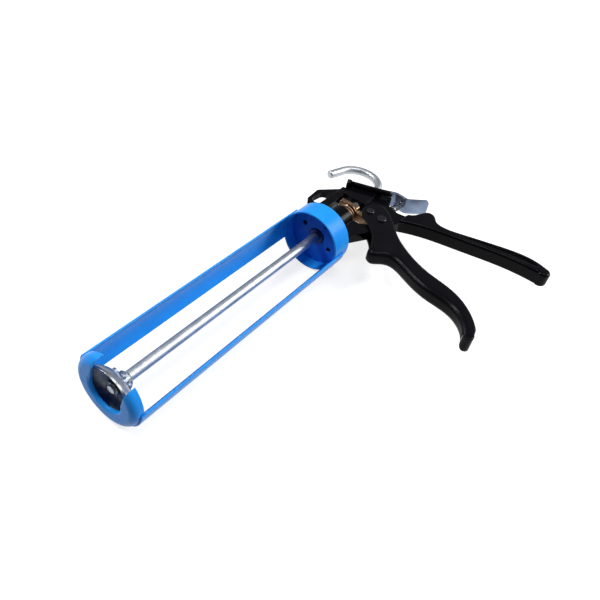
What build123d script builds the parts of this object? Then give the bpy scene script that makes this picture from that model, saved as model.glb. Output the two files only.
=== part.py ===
"""Skeleton caulking gun for 310 ml cartridges, lying on its right side.

X runs back along the push rod, Y is the gun's own up and Z its left side.
The origin is on the rod's axis, in the plane where a cartridge's rear rim seats.
All sizes are in millimetres and all angles in degrees.
"""
import os
from math import asin, cos, degrees, pi, radians, sin, sqrt

from build123d import *

os.makedirs("parts", exist_ok=True)

# Fits
running_gap = 0.05
free_gap = 0.3
lever_gap = 0.12

# Push rod with its hook
rod_diameter = 8.0
rod_spigot_diameter = 6.0
hook_behind_flange = 14.5
hook_radius = 22.0
hook_turn_angle = 163.0
hook_tip_length = 17.0
hook_tip_round = 2.0

# Cradle: drum, front cap and the two straps that join them
cradle_radius = 27.5
cradle_sheet = 1.5
cradle_turn = -17.0
bay_length = 230.0
drum_length = 19.5
seat_depth = 10.8
seat_thickness = 1.6
seat_coin_depth = 0.3
vent_hole_diameter = 4.6
vent_circle_radius = 15.7
vent_count = 4
vent_start_angle = 10.0
cap_depth = 8.5
cap_edge_radius = 5.5
cap_slot_width = 28.5
cap_lip_depth = 1.5
cap_lip_round = 2.0
strap_width = 24.0
strap_thickness = 1.4
strap_edge_round = 0.4
strap_spread_angle = 103.7
strap_cap_overlap = 3.0
strap_drum_overlap = 12.5
drum_edge_round = 0.4

# Swivel between the cradle and the handle frame
swivel_wall = 1.55
swivel_flange_width = 1.7
swivel_flange_thickness = 1.5
swivel_flange_round = 0.7
thrust_washer_width = 6.4
thrust_washer_thickness = 1.0
boss_wall = 7.4
boss_back = 24.0
boss_flange_thickness = 4.0
spring_housing_back = 38.0
circlip_width = 2.6
circlip_groove = 0.8
circlip_thickness = 1.2
circlip_gap = 4.0
swivel_tail = 1.4

# Plunger on the front end of the rod
plunger_radius = 20.8
plunger_sheet = 1.5
plunger_dish_depth = 9.0
plunger_dish_bulge_depth = 2.2
plunger_flat_radius = 9.0
lobe_count = 8
lobe_radius = 2.4
lobe_reach_radius = 11.4
lobe_sheet = 1.8
collar_wall = 2.2
collar_length = 5.5
collar_taper = 1.6
spigot_proud = 1.2
plunger_nut_across_flats = 10.0
plunger_nut_height = 4.5
plunger_cap_gap = 0.8

# Drive: plates on the rod, pushed by the trigger's pin against the return spring
drive_pin_behind_pivot = 2.0
drive_pin_above_pivot = 13.5
drive_pin_diameter = 5.0
plate_thickness = 2.5
plate_margin_above = 7.0
plate_margin_beside = 4.5
plate_margin_below = 4.3
plate_tongue_past_pin = 3.0
plate_tongue_gap = 0.5
plate_corner_radius = 2.0
spring_washer_thickness = 1.2
spring_washer_margin = 0.5
return_spring_room = 0.7
return_spring_wire = 1.6
return_spring_turns = 5
spring_rise = 2.2
spring_lead_angle = 28.0
spring_samples = 900

# Trigger
pivot_x = 55.5
pivot_y = -31.5
handle_length = 146.0
pivot_diameter = 6.0
trigger_half_width = 7.0
trigger_wall = 2.0
trigger_edge_radius = 4.5
rivet_head_radius = 4.4
rivet_head_height = 1.6
pin_head_radius = 3.8
rivet_head_round = 0.9
trigger_web_below_pivot = 12.5
trigger_web_shift = (2.3, 0.6)
hollow_margin = 40.0
finger_curve = [
    (-44.5, -13.5), (-46.5, -19.5), (-39, -29.5), (-42, -47.5), (-51.5, -75.5), (-55, -99.5), (-64.5, -113.5),
    (-76.5, -120),
]
toe_curve = [(-78, -125.5), (-71.5, -127)]
back_curve = [
    (-65.5, -125.5), (-50.5, -113), (-38.5, -92.5), (-33, -66.5), (-23.5, -42.5), (-8.5, -21.5), (5.5, -8.5),
    (18.5, 8.5),
]
cheek_curve = [(18.5, 8.5), (14.5, 16), (5.5, 21), (-3.5, 19), (-11, 11.5)]
throat_curve = [(-11, 11.5), (-19.5, 0), (-31.5, -9.5), (-44.5, -13.5)]

# Handle frame, one casting
rib_half_width = 4.5
lug_half_width = 2.5
column_half_width = 7.0
grip_half_width = 7.0
grip_edge_radius = 2.5
flange_lean = 21.5
flange_x = 83.0
flange_thickness = 5.0
flange_half_height = 22.5
flange_half_width = 12.0
flange_corner_radius = 4.0
flange_edge_round = 2.2
flange_rail_width = 3.3
flange_window_depth = 10.5
ear_lip = 2.0
ear_half_width = 8.5
hang_hole_before_pivot = 9.0
hang_hole_above_pivot = 60.5
hang_hole_length = 19.0
hang_hole_width = 10.0
hang_hole_lean = -8.0
grip_recess = 1.5
lug_drum_gap = 3.3
lug_corner_radius = 4.0
rail_half_width = 4.0
column_behind_pin = 6.5
grip_front_curve = [(10.5, -11.5), (20.5, -32.5), (30.5, -70.5), (38.5, -106.5), (40.5, -137)]
grip_end_curve = [(44.5, -146), (51.5, -140.5)]
grip_back_curve = [
    (54.7, -125.5), (49, -94.5), (38.5, -61.5), (35.2, -47.5), (37, -38.5), (44.8, -31), (45, -25.8),
    (38, -20.6), (27.4, -12.9),
]
grip_top = (21.5, -11.5)
grip_recess_curve = [
    (33, -64), (35.2, -73), (42.8, -106.5), (45.6, -128), (48, -134), (50.2, -126), (45, -97), (37.5, -72),
]
rib_under_curve = [(-37.5, 8.5), (-19.5, -1), (-3.5, -9.5), (10.5, -13.5), (20.5, -26.5), (30.5, -24.5)]
rib_back_curve = [(25, -14.5), (23, -3.5), (26.5, 6.5)]
window_floor_above_pivot = 7.5
rib_root_depth = 10.0
lug_top_curve = [(-38, 55), (-18.5, 69), (-0.5, 70.5), (22, 52.5)]
lug_underside = 47.5
rail_height = 8.0
column_half_height = 8.0
column_top = 16.0
spring_seat_depth = 9.0
spring_seat_rim = 0.2
spring_pocket_gap = 0.5

# Release lever and its spring
lever_sheet = 2.5
lever_margin = 3.4
lever_swing = 5.0
lever_tab_radius = 3.0
lever_bend_radius = 6.0
lever_bend_past_flange = 3.5
lever_knee_step = (-1.5, -13.0)
lever_end_step = (14.8, -16.0)
ear_slack = 0.6
release_spring_radius = 3.0
release_spring_wire = 1.0
release_spring_turns = 5
release_spring_length = 17.5
release_spring_place = 0.62

rod_radius = rod_diameter / 2
spigot_radius = rod_spigot_diameter / 2
hook_start = flange_x + hook_behind_flange
cap_inner_face = -bay_length
cap_front = cap_inner_face - cradle_sheet
drum_front = -seat_depth
drum_back = drum_front + drum_length
swivel_bore = rod_radius + running_gap
swivel_tube_radius = swivel_bore + swivel_wall
swivel_flange_radius = swivel_tube_radius + swivel_flange_width
boss_radius = swivel_tube_radius + boss_wall
boss_front = seat_thickness + thrust_washer_thickness + free_gap
boss_flange_radius = vent_circle_radius + vent_hole_diameter
circlip_front = boss_back + free_gap
circlip_groove_radius = swivel_tube_radius - circlip_groove
circlip_radius = circlip_groove_radius + circlip_width
return_spring_radius = circlip_radius + return_spring_room + return_spring_wire / 2
drive_pin_x = pivot_x + drive_pin_behind_pivot
drive_pin_y = pivot_y + drive_pin_above_pivot
plate_back = drive_pin_x - drive_pin_diameter / 2 - free_gap
plate_front = plate_back - 2 * plate_thickness
spring_washer_front = plate_front - spring_washer_thickness
cheek_inside = trigger_half_width - trigger_wall
lever_half_width = rod_radius + lever_gap + lever_margin
handle_stretch = handle_length / -min(y for x, y in grip_end_curve)
bend_stretch = min(1.0, handle_stretch**2)


def across(x):
    """Plane square to the rod at x, its own x axis pointing out of the cap's slot."""
    turn = radians(cradle_turn)
    return Plane(origin=(x, 0, 0), x_dir=(0, sin(turn), cos(turn)), z_dir=(1, 0, 0))


def upright(x):
    """Plane square to the rod at x, its own x axis to the gun's left and y axis down."""
    return Plane(origin=(x, 0, 0), x_dir=(0, 0, 1), z_dir=(1, 0, 0))


def from_pivot(points):
    """Outline points given from the trigger's pivot, those below it stretched to the handle's length."""
    return [(pivot_x + x, pivot_y + (y * handle_stretch if y < 0 else y)) for x, y in points]


def finish(piece, name):
    piece.part.label = name
    export_step(piece.part, f"parts/{name}.step")


def biarc(start, start_dir, end, end_dir):
    """Two arcs, tangent to each other and to both given directions."""
    span = end - start
    both = start_dir + end_dir
    bend = 2 * (1 - start_dir.dot(end_dir))
    reach = span.dot(both)
    if bend < 1e-9:
        reach_length = span.dot(span) / (2 * reach)
    else:
        reach_length = (sqrt(reach**2 + bend * span.dot(span)) - reach) / bend
    first_corner = start + start_dir * reach_length
    last_corner = end - end_dir * reach_length
    middle = (first_corner + last_corner) * 0.5
    TangentArc(start, middle, tangent=start_dir)
    TangentArc(middle, end, tangent=(last_corner - first_corner).normalized())


def coil_spring(seat, seat_to_seat, coil_radius, wire, turns):
    """Compression spring on a plane's z axis, wire ends square to both seats."""
    rise_ends = wire + spring_rise * wire
    coil_length = seat_to_seat - 2 * rise_ends
    steps = 4 * turns

    def station(step):
        angle = 2 * pi * step / 4
        height = rise_ends + coil_length * step / steps
        place = Vector(coil_radius * cos(angle), coil_radius * sin(angle), height)
        slope = coil_length / turns / (2 * pi)
        heading = Vector(-coil_radius * sin(angle), coil_radius * cos(angle), slope)
        return place, heading.normalized()

    lead = radians(spring_lead_angle)
    foot = Vector(coil_radius * cos(lead), -coil_radius * sin(lead), 0)
    tail = Vector(coil_radius * cos(lead), coil_radius * sin(lead), seat_to_seat)
    axial = Vector(0, 0, 1)
    stations = [station(step) for step in range(steps + 1)]
    knots = [(foot + axial * wire, axial), *stations, (tail - axial * wire, axial)]
    with BuildLine() as local_path:
        Line(foot, foot + axial * wire)
        for (start, start_dir), (end, end_dir) in zip(knots, knots[1:]):
            biarc(start, start_dir, end, end_dir)
        Line(tail - axial * wire, tail)
    path = seat.from_local_coords(local_path.wire())
    with BuildPart() as spring:
        with BuildSketch(Plane(origin=path @ 0, z_dir=path % 0)):
            Circle(wire / 2)
        sweep(path=path)
    samples = [path @ (i / spring_samples) for i in range(spring_samples + 1)]
    half_turn = int(pi * coil_radius / path.length * spring_samples)
    least = min(
        (samples[i] - samples[j]).length
        for i in range(spring_samples + 1)
        for j in range(i + half_turn, spring_samples + 1)
    )
    print(f"least gap between turns {least - wire:.2f} mm")
    return spring


# Rear drum: the outer band of the cradle
with BuildPart() as drum:
    with BuildSketch(across(drum_front)):
        Circle(cradle_radius)
        Circle(cradle_radius - cradle_sheet, mode=Mode.SUBTRACT)
    extrude(amount=drum_length)
    fillet(drum.edges().group_by(Axis.X)[0], drum_edge_round)
finish(drum, "rear_drum")

# Seat disc pressed into the drum, with its vent holes and a coined recess for the bush's flange
with BuildPart() as seat:
    with BuildSketch(across(0)):
        Circle(cradle_radius - cradle_sheet)
        Circle(swivel_tube_radius, mode=Mode.SUBTRACT)
        with PolarLocations(vent_circle_radius, vent_count, start_angle=vent_start_angle):
            Circle(vent_hole_diameter / 2, mode=Mode.SUBTRACT)
    extrude(amount=seat_thickness)
    with BuildSketch(across(0)):
        Circle(swivel_flange_radius + free_gap)
    extrude(amount=seat_coin_depth, mode=Mode.SUBTRACT)
finish(seat, "seat_disc")

# Front cap: shallow cup with a rolled edge and an open slot for the nozzle
slot_radius = cap_slot_width / 2
with BuildPart() as cap_hollow:
    with BuildSketch(across(cap_inner_face)):
        Circle(cradle_radius - cradle_sheet)
    extrude(amount=cap_depth)
    fillet(cap_hollow.edges().group_by(Axis.X)[0], cap_edge_radius - cradle_sheet)
with BuildPart() as cap:
    with BuildSketch(across(cap_front)):
        Circle(cradle_radius)
    extrude(amount=cap_depth)
    fillet(cap.edges().group_by(Axis.X)[0], cap_edge_radius)
    add(cap_hollow.part, mode=Mode.SUBTRACT)
    with BuildSketch(across(cap_inner_face)):
        Circle(slot_radius + cradle_sheet)
    extrude(amount=cap_lip_depth)
    with BuildSketch(across(cap_front)):
        Circle(slot_radius)
    extrude(amount=cap_depth, mode=Mode.SUBTRACT)
    fillet(cap.edges().group_by(Axis.X)[0].sort_by(SortBy.RADIUS)[0], cap_lip_round)
    with BuildSketch(across(cap_front)):
        with Locations((cradle_radius, 0)):
            Rectangle(2 * cradle_radius, cap_slot_width)
    extrude(amount=cap_depth, mode=Mode.SUBTRACT)
finish(cap, "front_cap")

# Straps: curved strips welded outside the drum and the cap
strap_front = cap_front + cap_depth - strap_cap_overlap
strap_back = drum_front + strap_drum_overlap
strap_half_angle = degrees(asin(strap_width / 2 / cradle_radius))
for strap_name, strap_angle in (("strap_upper", -strap_spread_angle), ("strap_lower", strap_spread_angle)):
    with BuildPart() as strap:
        with BuildSketch(across(strap_front)):
            with BuildLine():
                first = strap_angle - strap_half_angle
                inner = CenterArc((0, 0), cradle_radius, first, 2 * strap_half_angle)
                outer = CenterArc((0, 0), cradle_radius + strap_thickness, first, 2 * strap_half_angle)
                Line(inner @ 0, outer @ 0)
                Line(inner @ 1, outer @ 1)
            make_face()
        extrude(amount=strap_back - strap_front)
        fillet(strap.edges().filter_by(Axis.X), strap_edge_round)
    finish(strap, strap_name)

# Swivel bush: flanged tube through the seat disc and the frame's boss
swivel_flange_front = seat_coin_depth - swivel_flange_thickness
with BuildPart() as swivel_bush:
    with BuildSketch(across(swivel_flange_front)):
        Circle(swivel_flange_radius)
    extrude(amount=swivel_flange_thickness)
    fillet(swivel_bush.edges().group_by(Axis.X)[0], swivel_flange_round)
    with BuildSketch(across(0)):
        Circle(swivel_tube_radius)
    extrude(amount=circlip_front + circlip_thickness + swivel_tail)
    with BuildSketch(across(circlip_front)):
        Circle(swivel_tube_radius)
        Circle(circlip_groove_radius, mode=Mode.SUBTRACT)
    extrude(amount=circlip_thickness, mode=Mode.SUBTRACT)
    with BuildSketch(across(swivel_flange_front)):
        Circle(swivel_bore)
    extrude(amount=2 * boss_back, mode=Mode.SUBTRACT)
finish(swivel_bush, "swivel_bush")

with BuildPart() as thrust_washer:
    with BuildSketch(across(seat_thickness)):
        Circle(swivel_tube_radius + thrust_washer_width)
        Circle(swivel_tube_radius + running_gap, mode=Mode.SUBTRACT)
    extrude(amount=thrust_washer_thickness)
finish(thrust_washer, "thrust_washer")

with BuildPart() as circlip:
    with BuildSketch(across(circlip_front)):
        Circle(circlip_radius)
        Circle(circlip_groove_radius, mode=Mode.SUBTRACT)
        with Locations((circlip_radius, 0)):
            Rectangle(2 * circlip_radius, circlip_gap, mode=Mode.SUBTRACT)
    extrude(amount=circlip_thickness)
finish(circlip, "swivel_circlip")

# Plunger: dished disc, lobed washer, collar and nut on the rod's spigot
rim_x = cap_inner_face + plunger_cap_gap
dish_x = rim_x + plunger_dish_depth
lobed_x = dish_x + plunger_sheet
rod_front = lobed_x + lobe_sheet
nut_x = dish_x - plunger_nut_height
dish_mid_radius = (plunger_radius + plunger_flat_radius) / 2
dish_mid_x = (rim_x + dish_x) / 2 + plunger_dish_bulge_depth
with BuildPart() as plunger_disc:
    with BuildSketch():
        with BuildLine():
            hollow = ThreePointArc(
                (rim_x, plunger_radius), (dish_mid_x, dish_mid_radius), (dish_x, plunger_flat_radius)
            )
            bore_front = Line(hollow @ 1, (dish_x, spigot_radius + running_gap))
            bore = Line(bore_front @ 1, (lobed_x, spigot_radius + running_gap))
            flat = Line(bore @ 1, (lobed_x, plunger_flat_radius))
            back = ThreePointArc(
                flat @ 1,
                (dish_mid_x + plunger_sheet, dish_mid_radius),
                (rim_x + plunger_sheet, plunger_radius),
            )
            Line(back @ 1, hollow @ 0)
        make_face()
    revolve(axis=Axis.X)
finish(plunger_disc, "plunger_disc")

with BuildPart() as lobed_washer:
    with BuildSketch(across(lobed_x)):
        Circle(lobe_reach_radius - lobe_radius)
        with PolarLocations(lobe_reach_radius - lobe_radius, lobe_count):
            Circle(lobe_radius)
        Circle(spigot_radius + running_gap, mode=Mode.SUBTRACT)
    extrude(amount=lobe_sheet)
finish(lobed_washer, "plunger_washer")

with BuildPart() as collar:
    with BuildSketch(across(rod_front)):
        Circle(rod_radius + collar_wall)
    extrude(amount=collar_length)
    chamfer(collar.edges().group_by(Axis.X)[-1], collar_taper)
    with BuildSketch(across(rod_front)):
        Circle(rod_radius + running_gap)
    extrude(amount=collar_length, mode=Mode.SUBTRACT)
finish(collar, "rod_collar")

with BuildPart() as plunger_nut:
    with BuildSketch(across(nut_x)):
        RegularPolygon(plunger_nut_across_flats / 2, 6, major_radius=False)
        Circle(spigot_radius + running_gap, mode=Mode.SUBTRACT)
    extrude(amount=plunger_nut_height)
finish(plunger_nut, "plunger_nut")

# Push rod, bent into a hook at its rear end
with BuildPart() as push_rod:
    with BuildLine() as rod_path:
        shank = Line((rod_front, 0), (hook_start, 0))
        bend = JernArc(shank @ 1, shank % 1, hook_radius, hook_turn_angle)
        Line(bend @ 1, bend @ 1 + (bend % 1) * hook_tip_length)
    with BuildSketch(Plane(origin=shank @ 0, z_dir=shank % 0)):
        Circle(rod_radius)
    sweep(path=rod_path.wire())
    tip_face = push_rod.faces().filter_by(GeomType.PLANE).sort_by(Axis.Y)[-1]
    fillet(tip_face.edges(), hook_tip_round)
    with BuildSketch(across(rod_front)):
        Circle(spigot_radius)
    extrude(amount=nut_x - rod_front - spigot_proud)
finish(push_rod, "push_rod")


# Drive plates: two alike, with a tongue that hangs between the trigger's cheeks
tongue_half_width = cheek_inside - plate_tongue_gap
plate_top = rod_radius + plate_margin_above
plate_shoulder = rod_radius + plate_margin_below
plate_half_width = rod_radius + plate_margin_beside
plate_tongue_end = plate_tongue_past_pin - drive_pin_y
for plate_name, plate_x in (
    ("drive_plate_front", plate_front),
    ("drive_plate_back", plate_front + plate_thickness),
):
    with BuildPart() as plate:
        with BuildSketch(upright(plate_x)):
            with Locations((0, (plate_shoulder - plate_top) / 2)):
                RectangleRounded(2 * plate_half_width, plate_top + plate_shoulder, plate_corner_radius)
            with Locations((0, plate_tongue_end / 2)):
                RectangleRounded(2 * tongue_half_width, plate_tongue_end, plate_corner_radius)
            Circle(rod_radius + 2 * running_gap, mode=Mode.SUBTRACT)
        extrude(amount=plate_thickness)
    finish(plate, plate_name)

with BuildPart() as spring_washer:
    with BuildSketch(upright(spring_washer_front)):
        Circle(return_spring_radius + return_spring_wire / 2 + spring_washer_margin)
        Circle(rod_radius + 2 * running_gap, mode=Mode.SUBTRACT)
    extrude(amount=spring_washer_thickness)
finish(spring_washer, "spring_washer")

return_spring = coil_spring(
    upright(boss_back + free_gap),
    spring_washer_front - boss_back - 2 * free_gap,
    return_spring_radius,
    return_spring_wire,
    return_spring_turns,
)
finish(return_spring, "return_spring")

# Trigger: pressed channel, open at the back, whose cheeks straddle the frame's rib
web_curve = [(x + trigger_web_shift[0], y + trigger_web_shift[1]) for x, y in from_pivot(finger_curve)]
web_top = pivot_y - trigger_web_below_pivot
hollow_low = web_curve[-1][1] - hollow_margin
hollow_back = pivot_x + hollow_margin
with BuildPart() as trigger_hollow:
    with BuildSketch():
        with BuildLine():
            inside = Spline(*web_curve)
            Polyline(inside @ 1, (web_curve[-1][0], hollow_low), (hollow_back, hollow_low), (hollow_back, 0))
            Polyline((hollow_back, 0), (web_curve[0][0], 0), inside @ 0)
        make_face()
        with BuildLine():
            Polyline(
                (-hollow_margin, web_top), (hollow_back, web_top), (hollow_back, 0), (-hollow_margin, 0),
                close=True,
            )
        make_face()
    extrude(amount=cheek_inside, both=True)
with BuildPart() as trigger:
    with BuildSketch():
        with BuildLine():
            front = Spline(*from_pivot(finger_curve))
            toe = ThreePointArc(front @ 1, *from_pivot(toe_curve))
            back = Spline(*from_pivot(back_curve))
            Line(toe @ 1, back @ 0)
            Spline(*from_pivot(cheek_curve))
            Spline(*from_pivot(throat_curve))
        make_face()
    extrude(amount=trigger_half_width, both=True)
    outer_edges = trigger.faces().filter_by(Plane.XY).edges()
    fillet(outer_edges.sort_by_distance(front @ 0.5)[:2], trigger_edge_radius * bend_stretch)
    add(trigger_hollow.part, mode=Mode.SUBTRACT)
    with Locations((pivot_x, pivot_y)):
        Cylinder(pivot_diameter / 2 + running_gap, 4 * trigger_half_width, mode=Mode.SUBTRACT)
    with Locations((drive_pin_x, drive_pin_y)):
        Cylinder(drive_pin_diameter / 2 + running_gap, 4 * trigger_half_width, mode=Mode.SUBTRACT)
finish(trigger, "trigger")


def rivet(x, y, diameter, head_radius):
    """Pin along Z through both cheeks, with a domed head on each side."""
    with BuildPart() as pin:
        with Locations((x, y)):
            Cylinder(diameter / 2, 2 * trigger_half_width)
        with Locations((x, y, trigger_half_width), (x, y, -trigger_half_width - rivet_head_height)):
            Cylinder(head_radius, rivet_head_height, align=(Align.CENTER, Align.CENTER, Align.MIN))
        crowns = pin.edges().group_by(Axis.Z)
        fillet(crowns[0] + crowns[-1], rivet_head_round)
    return pin


finish(rivet(pivot_x, pivot_y, pivot_diameter, rivet_head_radius), "trigger_pivot_rivet")
finish(rivet(drive_pin_x, drive_pin_y, drive_pin_diameter, pin_head_radius), "drive_pin")

# Handle frame: grip, lower rib, hanging lug, swivel boss, rod column and rear flange in one casting
lean = radians(flange_lean)
flange_down = Vector(sin(lean), -cos(lean), 0)
flange_out = Vector(cos(lean), sin(lean), 0)
flange_face = Plane(origin=(flange_x, 0, 0), x_dir=flange_down, z_dir=flange_out)
flange_back = flange_face.offset(flange_thickness)
lever_top = flange_half_height - ear_lip - free_gap
ear_depth = 2 * free_gap + lever_sheet + ear_slack + ear_lip
lever_pivot = flange_back.origin - flange_down * lever_top + flange_out * free_gap
lever_lean = radians(flange_lean + lever_swing)
lever_arm = lever_top + flange_half_height + lever_bend_past_flange
lever_bend = lever_pivot + Vector(sin(lever_lean), -cos(lever_lean), 0) * lever_arm
lever_knee = lever_bend + Vector(*lever_knee_step, 0)
lever_end = lever_knee + Vector(*lever_end_step, 0)
spring_touch = lever_bend + (lever_knee - lever_bend) * release_spring_place
spring_axis = (lever_knee - lever_bend).normalized().rotate(Axis.Z, 90)
spring_seat = Plane(origin=spring_touch - spring_axis * release_spring_length, z_dir=spring_axis)
flange_foot = flange_face.origin + flange_down * (flange_half_height - flange_corner_radius)
flange_head = flange_face.origin - flange_down * (flange_half_height - flange_corner_radius)
column_front = drive_pin_x + column_behind_pin
lug_front = drum_back + lug_drum_gap
lug_bottom = pivot_y + lug_underside
rib_root = (lug_front, -rib_root_depth)
window_floor = pivot_y + window_floor_above_pivot
window_width = flange_half_width - flange_rail_width - rib_half_width
window_middle = rib_half_width + window_width / 2
with BuildPart() as flange:
    with BuildSketch(flange_face):
        RectangleRounded(2 * flange_half_height, 2 * flange_half_width, flange_corner_radius)
    extrude(amount=flange_thickness)
    broad_faces = flange.faces().sort_by(SortBy.AREA)[-2:]
    fillet(broad_faces.edges(), flange_edge_round)
with BuildPart() as frame:
    with BuildSketch():
        with BuildLine():
            grip_front = Spline(*from_pivot(grip_front_curve))
            grip_end = ThreePointArc(grip_front @ 1, *from_pivot(grip_end_curve))
            grip_back = Spline(grip_end @ 1, *from_pivot(grip_back_curve))
            Polyline(grip_back @ 1, *from_pivot([grip_top]), grip_front @ 0)
        make_face()
    extrude(amount=grip_half_width, both=True)
    fillet(frame.faces().filter_by(Plane.XY).edges(), grip_edge_radius)
    for side in (1, -1):
        with BuildSketch(Plane.XY.offset(side * grip_half_width)):
            with BuildLine():
                Spline(*from_pivot(grip_recess_curve), periodic=True)
            make_face()
        extrude(amount=-side * grip_recess, mode=Mode.SUBTRACT)
    with BuildSketch():
        with BuildLine():
            Polyline(
                rib_root, *from_pivot(rib_under_curve), *from_pivot(rib_back_curve), flange_foot,
                flange_head, (column_front, lug_bottom + rail_height), (column_front, window_floor),
                (spring_housing_back, window_floor), (spring_housing_back, -rib_root_depth), close=True,
            )
        make_face()
    extrude(amount=rib_half_width, both=True)
    with BuildSketch() as lug:
        with BuildLine():
            Polyline(
                (lug_front, rib_root_depth), *from_pivot(lug_top_curve), flange_head,
                (column_front, lug_bottom), (boss_back + rail_height, lug_bottom),
                (boss_back, rib_root_depth), close=True,
            )
        make_face()
        fillet(lug.vertices().sort_by(Axis.Y)[-3:], lug_corner_radius)
        hang_hole = (pivot_x - hang_hole_before_pivot, pivot_y + hang_hole_above_pivot)
        with Locations(Location(hang_hole, hang_hole_lean)):
            SlotOverall(hang_hole_length, hang_hole_width, mode=Mode.SUBTRACT)
    extrude(amount=lug_half_width, both=True)
    with BuildSketch():
        with BuildLine():
            Polyline(
                (boss_back - rail_height, rib_root_depth), (boss_back, lug_bottom + rail_height),
                (flange_head.X, lug_bottom + rail_height), (flange_head.X, lug_bottom),
                (boss_back + rail_height, lug_bottom), (boss_back, rib_root_depth), close=True,
            )
        make_face()
    extrude(amount=rail_half_width, both=True)
    with BuildSketch():
        with BuildLine():
            Polyline(
                (column_front, -column_half_height), flange_face.from_local_coords((column_half_height, 0)),
                flange_face.from_local_coords((-column_top, 0)), (column_front, column_top), close=True,
            )
        make_face()
    extrude(amount=column_half_width, both=True)
    add(flange.part)
    for side in (1, -1):
        with BuildSketch(flange_face):
            with Locations((flange_half_height, side * window_middle)):
                Rectangle(2 * flange_window_depth, window_width)
        extrude(amount=flange_thickness, mode=Mode.SUBTRACT)
    with BuildSketch(flange_face.offset(flange_thickness / 2)):
        with Locations((-flange_half_height + ear_lip / 2, 0)):
            Rectangle(ear_lip, 2 * ear_half_width)
    extrude(amount=flange_thickness / 2 + ear_depth)
    with BuildSketch(flange_back.offset(ear_depth - ear_lip)):
        with Locations((-flange_half_height + ear_lip, 0)):
            Rectangle(2 * ear_lip, 2 * ear_half_width)
    extrude(amount=ear_lip)
    with BuildSketch(upright(boss_front)):
        Circle(boss_flange_radius)
    extrude(amount=boss_flange_thickness)
    with BuildSketch(upright(boss_front)):
        Circle(boss_radius)
    extrude(amount=spring_housing_back - boss_front)
    with BuildSketch(upright(boss_back)):
        Circle(return_spring_radius + return_spring_wire / 2 + spring_pocket_gap)
    extrude(amount=spring_housing_back - boss_back, mode=Mode.SUBTRACT)
    with BuildSketch(spring_seat):
        Circle(rib_half_width - spring_seat_rim)
    extrude(amount=-spring_seat_depth)
    with BuildSketch(spring_seat):
        Circle(release_spring_radius + release_spring_wire / 2 + spring_pocket_gap)
    extrude(amount=release_spring_length, mode=Mode.SUBTRACT)
    with BuildSketch(upright(0)):
        Circle(swivel_tube_radius + running_gap)
    extrude(amount=boss_back, mode=Mode.SUBTRACT)
    with BuildSketch(upright(boss_back)):
        Circle(rod_radius + running_gap)
    extrude(amount=flange_x, mode=Mode.SUBTRACT)
    with Locations((pivot_x, pivot_y)):
        Cylinder(pivot_diameter / 2 + running_gap, 4 * rib_half_width, mode=Mode.SUBTRACT)
finish(frame, "handle_frame")

# Release lever: bent plate on the rod behind the flange, hooked under the flange's ear
with BuildPart() as lever:
    with BuildSketch():
        with BuildLine():
            FilletPolyline(lever_pivot, lever_bend, lever_knee, lever_end, radius=lever_bend_radius)
            offset(amount=lever_sheet, side=Side.LEFT)
        make_face()
    extrude(amount=lever_half_width, both=True)
    tab_corners = lever.edges().filter_by(lambda edge: edge.length < 1.01 * lever_sheet).group_by(Axis.Y)[0]
    fillet(tab_corners, lever_tab_radius)
    for turn in (0, lever_swing):
        rod_line = Vector(1, 0, 0).rotate(Axis.Z, turn)
        rod_point = lever_pivot + (Vector(flange_x, 0, 0) - lever_pivot).rotate(Axis.Z, turn)
        with BuildSketch(Plane(origin=rod_point, z_dir=rod_line)):
            Circle(rod_radius + lever_gap)
        extrude(amount=4 * lever_half_width, both=True, mode=Mode.SUBTRACT)
finish(lever, "release_lever")

release_spring = coil_spring(
    spring_seat.offset(free_gap),
    release_spring_length - 2 * free_gap,
    release_spring_radius,
    release_spring_wire,
    release_spring_turns,
)
finish(release_spring, "release_spring")
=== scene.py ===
"""Skeleton caulking gun, dressed for the studio: finishes, coil springs, floor, lamps and camera.

The frame is in metres: X back along the push rod, Y the gun's own up, Z its left side, which lies uppermost.
"""
from math import cos, pi, sin

import bpy
from mathutils import Matrix, Vector


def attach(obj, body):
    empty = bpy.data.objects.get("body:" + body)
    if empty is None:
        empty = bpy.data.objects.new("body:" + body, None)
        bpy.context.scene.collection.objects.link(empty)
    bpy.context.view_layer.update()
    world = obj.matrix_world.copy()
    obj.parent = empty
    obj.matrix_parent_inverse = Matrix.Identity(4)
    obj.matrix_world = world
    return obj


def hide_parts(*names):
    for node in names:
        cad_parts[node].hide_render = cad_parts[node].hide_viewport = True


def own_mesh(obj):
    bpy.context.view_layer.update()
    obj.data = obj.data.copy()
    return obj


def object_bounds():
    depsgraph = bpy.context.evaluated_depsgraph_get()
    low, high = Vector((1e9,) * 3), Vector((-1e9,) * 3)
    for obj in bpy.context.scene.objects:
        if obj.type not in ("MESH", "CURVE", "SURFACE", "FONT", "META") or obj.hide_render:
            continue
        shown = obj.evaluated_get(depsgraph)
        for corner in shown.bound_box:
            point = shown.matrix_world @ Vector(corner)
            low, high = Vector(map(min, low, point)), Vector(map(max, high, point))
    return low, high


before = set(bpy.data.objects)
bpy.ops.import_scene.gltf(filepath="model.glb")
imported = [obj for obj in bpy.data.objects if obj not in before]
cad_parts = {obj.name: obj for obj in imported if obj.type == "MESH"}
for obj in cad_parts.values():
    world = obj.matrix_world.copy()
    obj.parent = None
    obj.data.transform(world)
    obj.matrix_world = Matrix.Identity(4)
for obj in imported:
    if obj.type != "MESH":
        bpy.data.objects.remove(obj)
cad_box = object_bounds()

MM = 0.001

# Nearly all of a noise pattern lies between these two values
NOISE_LOW = 0.3
NOISE_HIGH = 0.7

# Likeness of the rounded normal to the true one, on open faces and on sharp edges
FACE_LIKENESS = 0.995
EDGE_LIKENESS = 0.8
EDGE_SAMPLES = 6

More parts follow.
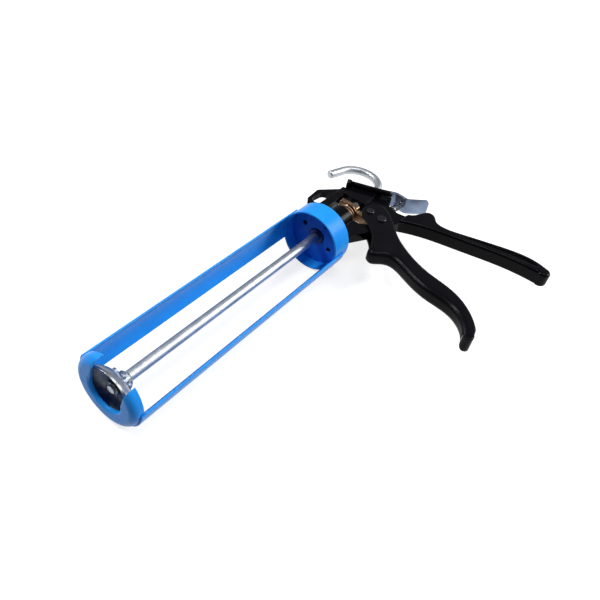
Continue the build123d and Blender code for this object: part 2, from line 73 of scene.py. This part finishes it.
# Sockets of a Mix node that mixes colours, where the names are not unique
MIX_SHARE, MIX_FROM, MIX_TO = 0, 6, 7
MIX_RESULT = 2

ENAMEL_IOR = 1.5

# Coil springs: pitch of the closed end turns in wire diameters, and how finely the wire is drawn
CLOSED_PITCH = 1.04
STEPS_PER_TURN = 36
WIRE_ROUNDNESS = 4


def linear(hex_colour):
    """sRGB hex to a linear colour with full alpha."""
    channels = [int(hex_colour[i : i + 2], 16) / 255 for i in (1, 3, 5)]
    return [c / 12.92 if c <= 0.04045 else ((c + 0.055) / 1.055) ** 2.4 for c in channels] + [1.0]


def per_mm(size):
    """Texture scale that repeats about every so many millimetres, on coordinates in metres."""
    return 1 / (size * MM)


def add_node(tree, kind, inputs=(), stops=(), **settings):
    """Adds one node: its settings, its colour stops, and inputs that are values or other nodes' outputs."""
    new = tree.nodes.new(kind)
    for name, value in settings.items():
        setattr(new, name, value)
    for socket, value in dict(inputs).items():
        if isinstance(value, bpy.types.NodeSocket):
            tree.links.new(value, new.inputs[socket])
        else:
            new.inputs[socket].default_value = value
    for i, (place, colour) in enumerate(stops):
        ramp = new.color_ramp.elements
        stop = ramp[i] if i < len(ramp) else ramp.new(place)
        stop.position = place
        stop.color = colour
    return new


def new_material(name):
    """Node material with an empty tree."""
    material = bpy.data.materials.new(name)
    material.use_nodes = True
    material.node_tree.nodes.clear()
    return material


def edge_mask(tree, edge_mm):
    """Normal rounded over the sharp edges, and a mask that rises to 1 on them."""
    rounded = add_node(
        tree, "ShaderNodeBevel", {"Radius": edge_mm * MM}, samples=EDGE_SAMPLES
    ).outputs["Normal"]
    plain = add_node(tree, "ShaderNodeNewGeometry").outputs["Normal"]
    likeness = add_node(
        tree, "ShaderNodeVectorMath", {0: rounded, 1: plain}, operation="DOT_PRODUCT"
    ).outputs["Value"]
    mask = add_node(
        tree,
        "ShaderNodeMapRange",
        {"Value": likeness, "From Min": FACE_LIKENESS, "From Max": EDGE_LIKENESS},
    ).outputs["Result"]
    return rounded, mask


def stoved_enamel(name, thin, full, edge, *, film_mm, peel_mm, peel_height_mm, sheen, edge_mm, specular):
    """Sprayed and baked enamel: even colour, painted paler over the edges for thinner paint there and a
    painted highlight, with a fine orange peel in the gloss.
    """
    material = new_material(name)
    tree = material.node_tree
    place = add_node(tree, "ShaderNodeTexCoord").outputs["Object"]
    rounded, edges = edge_mask(tree, edge_mm)
    film = add_node(
        tree,
        "ShaderNodeTexNoise",
        {"Vector": place, "Scale": per_mm(film_mm), "Detail": 3.0, "Roughness": 0.55},
    ).outputs["Fac"]
    coat = add_node(
        tree,
        "ShaderNodeValToRGB",
        {"Fac": film},
        [(NOISE_LOW, linear(thin)), (NOISE_HIGH, linear(full))],
    ).outputs["Color"]
    # Edges take the paler edge colour: thinner paint there, with a painted highlight on them.
    colour = add_node(
        tree,
        "ShaderNodeMix",
        {MIX_SHARE: edges, MIX_FROM: coat, MIX_TO: linear(edge)},
        data_type="RGBA",
    ).outputs[MIX_RESULT]
    gloss = add_node(
        tree,
        "ShaderNodeMapRange",
        {
            "Value": film,
            "From Min": NOISE_LOW,
            "From Max": NOISE_HIGH,
            "To Min": sheen[0],
            "To Max": sheen[1],
        },
    ).outputs["Result"]
    peel = add_node(
        tree, "ShaderNodeTexNoise", {"Vector": place, "Scale": per_mm(peel_mm), "Detail": 2.0}
    ).outputs["Fac"]
    bumps = add_node(
        tree,
        "ShaderNodeBump",
        {"Height": peel, "Distance": peel_height_mm * MM, "Strength": 1.0, "Normal": rounded},
    ).outputs["Normal"]
    surface = add_node(
        tree,
        "ShaderNodeBsdfPrincipled",
        {
            "Base Color": colour,
            "Roughness": gloss,
            "Normal": bumps,
            "IOR": ENAMEL_IOR,
            "Specular IOR Level": specular,
        },
    ).outputs["BSDF"]
    add_node(tree, "ShaderNodeOutputMaterial", {"Surface": surface})
    return material


def plated_steel(name, colours, *, grain_mm, cloud_mm, grain_height_mm, sheen, edge_mm=0.4):
    """Plated or coloured steel: clouded metal, with the marks of drawing, rolling or turning under it."""
    material = new_material(name)
    tree = material.node_tree
    place = add_node(tree, "ShaderNodeTexCoord").outputs["Object"]
    rounded, edges = edge_mask(tree, edge_mm)
    clouds = add_node(
        tree,
        "ShaderNodeTexNoise",
        {"Vector": place, "Scale": per_mm(cloud_mm), "Detail": 4.0, "Roughness": 0.6},
    ).outputs["Fac"]
    step = (NOISE_HIGH - NOISE_LOW) / (len(colours) - 1)
    plate = add_node(
        tree,
        "ShaderNodeValToRGB",
        {"Fac": clouds},
        [(NOISE_LOW + step * i, linear(colour)) for i, colour in enumerate(colours)],
    ).outputs["Color"]
    # Edges take the palest colour: rubbed plating, with a painted highlight where edges catch light.
    edge_wear_and_painted_highlight = add_node(
        tree,
        "ShaderNodeMix",
        {MIX_SHARE: edges, MIX_FROM: plate, MIX_TO: linear(colours[-1])},
        data_type="RGBA",
    ).outputs[MIX_RESULT]
    stretched = add_node(
        tree, "ShaderNodeMapping", {"Vector": place, "Scale": [per_mm(size) for size in grain_mm]}
    ).outputs["Vector"]
    grain = add_node(
        tree, "ShaderNodeTexNoise", {"Vector": stretched, "Scale": 1.0, "Detail": 3.0}
    ).outputs["Fac"]
    gloss = add_node(
        tree,
        "ShaderNodeMapRange",
        {
            "Value": grain,
            "From Min": NOISE_LOW,
            "From Max": NOISE_HIGH,
            "To Min": sheen[0],
            "To Max": sheen[1],
        },
    ).outputs["Result"]
    bumps = add_node(
        tree,
        "ShaderNodeBump",
        {"Height": grain, "Distance": grain_height_mm * MM, "Strength": 1.0, "Normal": rounded},
    ).outputs["Normal"]
    surface = add_node(
        tree,
        "ShaderNodeBsdfPrincipled",
        {"Base Color": edge_wear_and_painted_highlight, "Metallic": 1.0, "Roughness": gloss, "Normal": bumps},
    ).outputs["BSDF"]
    add_node(tree, "ShaderNodeOutputMaterial", {"Surface": surface})
    return material


# Blue stoving enamel on pressed sheet steel: a clean, fairly glossy blue, painted paler over edges, where it
# thins and where a painted highlight stands for the light they catch.
# Real orange peel is about 1 mm across; it is drawn at 3 mm so that it shows.
blue_enamel = stoved_enamel(
    "blue_stoving_enamel",
    thin="#1c86e0",
    full="#2292ed",
    edge="#4aa8ee",
    film_mm=30,
    peel_mm=3.0,
    peel_height_mm=0.006,
    sheen=(0.24, 0.32),
    edge_mm=0.8,
    specular=0.09,
)

# Blue stoving enamel on the seat disc inside the drum, painted deeper and duller to stand for the shade in
# the drum.
# Its orange peel is drawn at 3 mm too.
seat_enamel_painted_dark_for_shade = stoved_enamel(
    "blue_enamel_painted_dark_for_shade_on_seat_disc",
    thin="#1a62c6",
    full="#1f6bd2",
    edge="#3a80d6",
    film_mm=30,
    peel_mm=3.0,
    peel_height_mm=0.006,
    sheen=(0.3, 0.38),
    edge_mm=0.8,
    specular=0.06,
)

# Black stoving enamel on a pressure die casting: deep black gloss over slightly wavy skin.
# The waves of the casting are about 6 mm across.
casting_enamel = stoved_enamel(
    "black_enamel_on_casting",
    thin="#050407",
    full="#09080c",
    edge="#1b1a20",
    film_mm=18,
    peel_mm=6.0,
    peel_height_mm=0.02,
    sheen=(0.14, 0.22),
    edge_mm=0.9,
    specular=0.08,
)

# Black stoving enamel on pressed sheet steel: flatter than the casting, with a soft even sheen on wide edges.
# Its orange peel is drawn at 5 mm and shallow, so that it breaks up the light along the edge less.
pressing_enamel = stoved_enamel(
    "black_enamel_on_pressing",
    thin="#060509",
    full="#0a090e",
    edge="#1d1c21",
    film_mm=22,
    peel_mm=5.0,
    peel_height_mm=0.003,
    sheen=(0.25, 0.3),
    edge_mm=2.5,
    specular=0.085,
)

# Black stoving enamel on cold-headed rivets: small domes, glossier than the sheet that they hold.
# Its orange peel is drawn at 3 mm, as on the blue.
rivet_enamel = stoved_enamel(
    "black_enamel_on_rivets",
    thin="#08070a",
    full="#0e0c10",
    edge="#26252b",
    film_mm=8,
    peel_mm=3.0,
    peel_height_mm=0.01,
    sheen=(0.1, 0.16),
    edge_mm=0.6,
    specular=0.5,
)

# Zinc-plated bright drawn bar: long faint draw lines and a cool silver with small clouds.
# Draw lines are about 0.1 mm apart; they are drawn at 0.7 mm so that they show.
drawn_zinc = plated_steel(
    "zinc_on_drawn_bar",
    ["#a9aeb2", "#b9bdc1", "#c8ccd0"],
    grain_mm=(60, 0.7, 0.7),
    cloud_mm=7,
    grain_height_mm=0.0005,
    sheen=(0.4, 0.48),
)

# Zinc-plated deep pressing: bright, slightly drawn metal with a cloudy passivate.
pressed_zinc = plated_steel(
    "zinc_on_pressing",
    ["#8f9499", "#a3a8ad", "#b9bec2"],
    grain_mm=(3.0, 3.0, 3.0),
    cloud_mm=6,
    grain_height_mm=0.0008,
    sheen=(0.27, 0.36),
    edge_mm=0.25,
)

# Zinc on a turned nut, painted dark grey for the shade in the plunger's bowl: bright flats only where they
# face a lamp.
nut_zinc_painted_dark_for_shade = plated_steel(
    "zinc_on_nut_painted_dark_for_shade",
    ["#4f5358", "#63676c", "#7b8085"],
    grain_mm=(2.0, 2.0, 2.0),
    cloud_mm=4,
    grain_height_mm=0.001,
    sheen=(0.24, 0.32),
    edge_mm=0.3,
)

# Blue-passivated zinc on the bent lever and the lobed washer: silver with a cold blue cast,
# clouded by the bath.
lever_zinc = plated_steel(
    "blue_passivated_zinc_on_sheet",
    ["#74829d", "#8391aa", "#939fb6"],
    grain_mm=(2.0, 6.0, 2.0),
    cloud_mm=12,
    grain_height_mm=0.0008,
    sheen=(0.3, 0.38),
)

# Yellow-passivated zinc on blanked plates and the return spring: brown-gold with pinkish clouds.
yellow_zinc = plated_steel(
    "yellow_passivated_zinc",
    ["#816750", "#957a5f", "#8a6a55", "#a3866b"],
    grain_mm=(2.5, 2.5, 2.5),
    cloud_mm=14,
    grain_height_mm=0.0006,
    sheen=(0.28, 0.36),
)

# Zinc-plated cold drawn spring wire, painted dark grey for the shade it sits in: smooth, bright only in its
# glints.
spring_wire = plated_steel(
    "zinc_on_spring_wire_painted_dark_for_shade",
    ["#4c5157", "#5f646b", "#777c83"],
    grain_mm=(1.5, 1.5, 1.5),
    cloud_mm=4,
    grain_height_mm=0.001,
    sheen=(0.18, 0.26),
    edge_mm=0.1,
)

# Black-oxidised turned steel: almost black, dull metal with turning marks.
# Turning marks are about 0.2 mm apart; they are drawn at 0.8 mm so that they show.
oxidised_steel = plated_steel(
    "black_oxide_on_turned_steel",
    ["#16181f", "#20232c", "#343843"],
    grain_mm=(0.8, 6.0, 6.0),
    cloud_mm=4,
    grain_height_mm=0.01,
    sheen=(0.34, 0.46),
)

# Dark turned steel with the blue of the disc round it painted in as a reflection: a dull navy.
# Its turning marks are drawn at 0.8 mm too.
steel_with_painted_blue_reflection = plated_steel(
    "turned_steel_with_painted_blue_reflection",
    ["#151c40", "#1c2655", "#2a3770"],
    grain_mm=(0.8, 6.0, 6.0),
    cloud_mm=4,
    grain_height_mm=0.004,
    sheen=(0.34, 0.46),
)

finishes = {
    "rear_drum": blue_enamel,
    "seat_disc": seat_enamel_painted_dark_for_shade,
    "front_cap": blue_enamel,
    "strap_upper": blue_enamel,
    "strap_lower": blue_enamel,
    "swivel_bush": steel_with_painted_blue_reflection,
    "thrust_washer": oxidised_steel,
    "swivel_circlip": oxidised_steel,
    "push_rod": drawn_zinc,
    "rod_collar": pressed_zinc,
    "plunger_disc": pressed_zinc,
    "plunger_washer": lever_zinc,
    "plunger_nut": nut_zinc_painted_dark_for_shade,
    "handle_frame": casting_enamel,
    "trigger": pressing_enamel,
    "trigger_pivot_rivet": rivet_enamel,
    "drive_pin": rivet_enamel,
    "spring_washer": yellow_zinc,
    "drive_plate_front": yellow_zinc,
    "drive_plate_back": yellow_zinc,
    "release_lever": lever_zinc,
}
for node_name, material in finishes.items():
    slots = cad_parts[node_name].data.materials
    slots.clear()
    slots.append(material)


def coil_spring(name, finish, seat, axis, side, *, length, radius, wire, free_turns):
    """Compression spring of round wire with one closed turn at each end; all sizes in millimetres."""
    axis = Vector(axis).normalized()
    side = Vector(side).normalized()
    across = axis.cross(side)
    closed_rise = CLOSED_PITCH * wire
    free_rise = length - wire - 2 * closed_rise
    turns = free_turns + 2
    steps = STEPS_PER_TURN * turns
    points = []
    for step in range(steps + 1):
        turn = turns * step / steps
        start_turn = min(turn, 1.0)
        end_turn = max(turn - turns + 1, 0.0)
        free_turn = turn - start_turn - end_turn
        height = wire / 2 + closed_rise * (start_turn + end_turn) + free_rise * free_turn / free_turns
        angle = 2 * pi * turn
        points.append(Vector(seat) + axis * height + (side * cos(angle) + across * sin(angle)) * radius)
    curve = bpy.data.curves.new(name, "CURVE")
    curve.dimensions = "3D"
    curve.bevel_depth = wire / 2 * MM
    curve.bevel_resolution = WIRE_ROUNDNESS
    curve.use_fill_caps = True
    spline = curve.splines.new("POLY")
    spline.points.add(len(points) - 1)
    for point, place in zip(spline.points, points):
        point.co = (*(place * MM), 1.0)
    curve.materials.append(finish)
    wire_path = bpy.data.objects.new(name + "_path", curve)
    spring = bpy.data.objects.new(name, bpy.data.meshes.new_from_object(wire_path))
    bpy.data.objects.remove(wire_path)
    bpy.context.scene.collection.objects.link(spring)
    return spring


gun_left = (0, 0, 1)

# Return spring round the swivel bush, between the boss and the washer on the drive plates.
# The plates leave it 0.62 of its length when the trigger is pulled.
return_seat = (24.3, 0.0, 0.0)
return_axis = (1.0, 0.0, 0.0)
return_spring = coil_spring(
    "return_spring_wire",
    yellow_zinc,
    return_seat,
    return_axis,
    gun_left,
    length=23.9,
    radius=8.9,
    wire=1.6,
    free_turns=6,
)
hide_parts("return_spring")
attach(return_spring, "frame")
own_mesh(return_spring)

# Release spring between the handle frame and the release lever.
# The lever leaves it 0.78 of its length when it is pressed.
release_seat = (83.13, -26.69, 0.0)
release_axis = (0.9934, -0.1146, 0.0)
release_spring = coil_spring(
    "release_spring_wire",
    spring_wire,
    release_seat,
    release_axis,
    gun_left,
    length=16.9,
    radius=3.0,
    wire=1.0,
    free_turns=5,
)
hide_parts("release_spring")
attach(release_spring, "frame")
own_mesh(release_spring)

# Floor: matt grey card, lifted to paper white where it is seen or mirrored, with the shadow left on it
floor_grey = "#a2a2a2"
floor_lift = 0.76
floor_gap = 0.2 * MM
floor_reach = 6.0

floor_material = new_material("matt_white_floor")
tree = floor_material.node_tree
path = add_node(tree, "ShaderNodeLightPath").outputs
seen_or_mirrored = add_node(
    tree, "ShaderNodeMath", {0: path["Is Camera Ray"], 1: path["Is Glossy Ray"]}, operation="MAXIMUM"
).outputs["Value"]
seen = add_node(
    tree, "ShaderNodeMath", {0: seen_or_mirrored, 1: path["Is Transmission Ray"]}, operation="MAXIMUM"
).outputs["Value"]
lift = add_node(
    tree, "ShaderNodeMath", {0: seen, 1: floor_lift}, operation="MULTIPLY"
).outputs["Value"]
card = add_node(tree, "ShaderNodeBsdfDiffuse", {"Color": linear(floor_grey)}).outputs["BSDF"]
glow = add_node(
    tree, "ShaderNodeEmission", {"Color": linear("#ffffff"), "Strength": lift}
).outputs["Emission"]
both = add_node(tree, "ShaderNodeAddShader", {0: card, 1: glow}).outputs["Shader"]
add_node(tree, "ShaderNodeOutputMaterial", {"Surface": both})

floor_level = cad_box[0][2] - floor_gap
floor_mesh = bpy.data.meshes.new("floor")
corners = [(x * floor_reach, y * floor_reach, floor_level) for x, y in ((-1, -1), (1, -1), (1, 1), (-1, 1))]
floor_mesh.from_pydata(corners, [], [(0, 1, 2, 3)])
floor_mesh.materials.append(floor_material)
floor = bpy.data.objects.new("floor", floor_mesh)
bpy.context.scene.collection.objects.link(floor)

# World: pale walls round the table, a greyer ceiling over it, and walls that darken before the cap
wall_stops = [(0.0, "#c4c6ca"), (0.3, "#b2b5ba"), (0.6, "#8b8e93")]
dark_wall_x, full_wall_x = -0.8, 0.2
dark_wall_strength = 0.25

world = bpy.data.worlds.new("pale_studio")
bpy.context.scene.world = world
world.use_nodes = True
tree = world.node_tree
tree.nodes.clear()
direction = add_node(tree, "ShaderNodeTexCoord").outputs["Generated"]
towards = add_node(tree, "ShaderNodeSeparateXYZ", {"Vector": direction}).outputs
walls = add_node(
    tree,
    "ShaderNodeValToRGB",
    {"Fac": towards["Z"]},
    [(height, linear(colour)) for height, colour in wall_stops],
).outputs["Color"]
shade = add_node(
    tree,
    "ShaderNodeMapRange",
    {
        "Value": towards["X"],
        "From Min": dark_wall_x,
        "From Max": full_wall_x,
        "To Min": dark_wall_strength,
        "To Max": 1.0,
    },
).outputs["Result"]
light = add_node(tree, "ShaderNodeBackground", {"Color": walls, "Strength": shade}).outputs["Background"]
add_node(tree, "ShaderNodeOutputWorld", {"Surface": light})


def softbox(name, place, aim, *, size, power):
    """Square diffuse lamp turned towards a point, its size in metres and its power in watts."""
    lamp = bpy.data.lights.new(name, "AREA")
    lamp.shape = "SQUARE"
    lamp.size = size
    lamp.energy = power
    holder = bpy.data.objects.new(name, lamp)
    holder.location = place
    holder.rotation_euler = (Vector(aim) - Vector(place)).to_track_quat("-Z", "Y").to_euler()
    bpy.context.scene.collection.objects.link(holder)


# Lamps: a large soft key behind the handle, a rim light for the trigger's crest, and a fill from above
gun_middle = (-0.05, -0.04, 0.0)
softbox("key_softbox", (1.5, -1.45, 1.4), gun_middle, size=1.3, power=57.0)
softbox("rim_softbox", (-0.68, 1.25, 1.8), gun_middle, size=0.55, power=33.0)
softbox("top_softbox", (0.2, -0.5, 2.7), gun_middle, size=1.0, power=20.0)

# Camera where the photograph was taken from
camera_place = (-0.37068, -0.20398, 0.32643)
camera_right = Vector((0.59608, -0.79082, 0.1389))
camera_down = Vector((-0.49829, -0.49999, -0.70832))
camera_forward = Vector((0.6296, 0.353, -0.69209))
lens = bpy.data.cameras.new("photo_camera")
lens.sensor_fit = "HORIZONTAL"
lens.sensor_width = 36.0
lens.lens = 36.767
lens.clip_start = 0.01
camera = bpy.data.objects.new("photo_camera", lens)
camera_turn = Matrix((camera_right, -camera_down, -camera_forward)).transposed().to_4x4()
camera.matrix_world = Matrix.Translation(camera_place) @ camera_turn
bpy.context.scene.collection.objects.link(camera)
bpy.context.scene.camera = camera

bpy.context.scene.view_settings.view_transform = "Standard"
